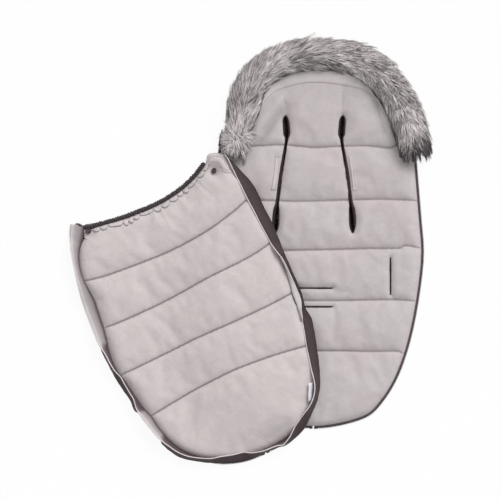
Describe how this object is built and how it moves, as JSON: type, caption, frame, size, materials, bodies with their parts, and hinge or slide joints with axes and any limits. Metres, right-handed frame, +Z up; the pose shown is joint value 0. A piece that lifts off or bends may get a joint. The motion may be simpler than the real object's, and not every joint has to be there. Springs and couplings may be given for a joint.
{
  "type": "stroller footmuff",
  "caption": "Quilted stroller footmuff laid open: fleece-lined back mat with a fur-trimmed hood and harness slits, beside its turned-over zip-off front cover.",
  "frame": {"origin": "on the back mat's flat underside, on its middle line at its widest row", "axes": "+Z up from the ground to the lining, +Y along the mat from its foot to its hood, +X to the side away from the front cover"},
  "size_m": [0.8318, 0.9775, 0.0698],
  "materials": {
    "grey_fleece": "brushed fleece, matt",
    "plum_shell_cloth": "woven water-repellent cloth, faint sheen",
    "white_wadding": "soft batting, matt",
    "grey_faux_fur": "long pile with dark tips",
    "fur_backing_knit": "knitted backing, matt",
    "dark_slit_binding": "folded bias tape, matt",
    "zip_tape": "woven tape, matt",
    "zip_teeth_plastic": "moulded teeth, satin",
    "black_zip_metal": "black painted die-cast, satin",
    "snap_gunmetal": "gunmetal, satin",
    "elastic_webbing": "gathered elastic casing, matt",
    "blank_white_label": "woven label, blank"
  },
  "bodies": {
    "mat": {"mat_shell": "plum_shell_cloth", "mat_wadding": "white_wadding", "mat_lining": "grey_fleece", "hood_facing": "grey_fleece", "fur_backing": "fur_backing_knit", "fur_trim": "grey_faux_fur", "shoulder_slit_binding_left": "dark_slit_binding", "shoulder_slit_binding_right": "dark_slit_binding", "crotch_slit_binding_upper": "dark_slit_binding", "crotch_slit_binding_lower": "dark_slit_binding", "waist_slit_binding_left": "dark_slit_binding", "waist_slit_binding_right": "dark_slit_binding", "side_slot_welt_left": "grey_fleece", "side_slot_welt_right": "grey_fleece", "mat_snap_stud_left": "snap_gunmetal", "mat_snap_stud_right": "snap_gunmetal", "mat_zip_tape_left": "zip_tape", "mat_zip_tape_right": "zip_tape", "mat_zip_teeth_left": "zip_teeth_plastic", "mat_zip_teeth_right": "zip_teeth_plastic", "mat_zip_stop_left": "zip_teeth_plastic", "mat_zip_stop_right": "zip_teeth_plastic", "mat_zip_box_left": "zip_teeth_plastic", "mat_zip_box_right": "zip_teeth_plastic"},
    "front_cover": {"cover_shell": "plum_shell_cloth", "cover_wadding": "white_wadding", "cover_lining": "grey_fleece", "baffle_outer": "plum_shell_cloth", "baffle_lining": "grey_fleece", "baffle_piping": "grey_fleece", "cover_zip_tape_left": "zip_tape", "cover_zip_tape_right": "zip_tape", "cover_zip_teeth_left": "zip_teeth_plastic", "cover_zip_teeth_right": "zip_teeth_plastic", "cover_zip_stop_left": "zip_teeth_plastic", "cover_zip_stop_right": "zip_teeth_plastic", "cover_zip_pin_left": "zip_teeth_plastic", "cover_zip_pin_right": "zip_teeth_plastic", "elastic_casing": "elastic_webbing", "top_elastic": "elastic_webbing", "corner_tab_left": "grey_fleece", "corner_tab_right": "grey_fleece", "cover_snap_socket_left": "snap_gunmetal", "cover_snap_socket_right": "snap_gunmetal", "blank_label": "blank_white_label"},
    "zip_slider_left": {"zip_slider_left": "black_zip_metal"},
    "zip_slider_right": {"zip_slider_right": "black_zip_metal"},
    "pull_tab_left": {"pull_tab_left": "black_zip_metal"},
    "pull_tab_right": {"pull_tab_right": "black_zip_metal"}
  },
  "joints": [
    {"name": "front_cover_lift", "type": "slide", "parent": "mat", "child": "front_cover", "axis": [0, 0, 1], "range_m": [0, 0.3]},
    {"name": "zip_slider_left_slide", "type": "slide", "parent": "mat", "child": "zip_slider_left", "axis": [-0.175, -0.9846, 0], "range_m": [0, 0.15]},
    {"name": "zip_slider_right_slide", "type": "slide", "parent": "mat", "child": "zip_slider_right", "axis": [0.0798, -0.9968, 0], "range_m": [0, 0.15]},
    {"name": "pull_tab_left_hinge", "type": "hinge", "parent": "zip_slider_left", "child": "pull_tab_left", "pos_m": [-0.21364, 0.28864, 0.0072], "axis": [-0.9846, 0.175, 0], "range_deg": [0, 170]},
    {"name": "pull_tab_right_hinge", "type": "hinge", "parent": "zip_slider_right", "child": "pull_tab_right", "pos_m": [0.23123, 0.28795, 0.0072], "axis": [-0.9968, -0.0798, 0], "range_deg": [0, 170]}
  ]
}
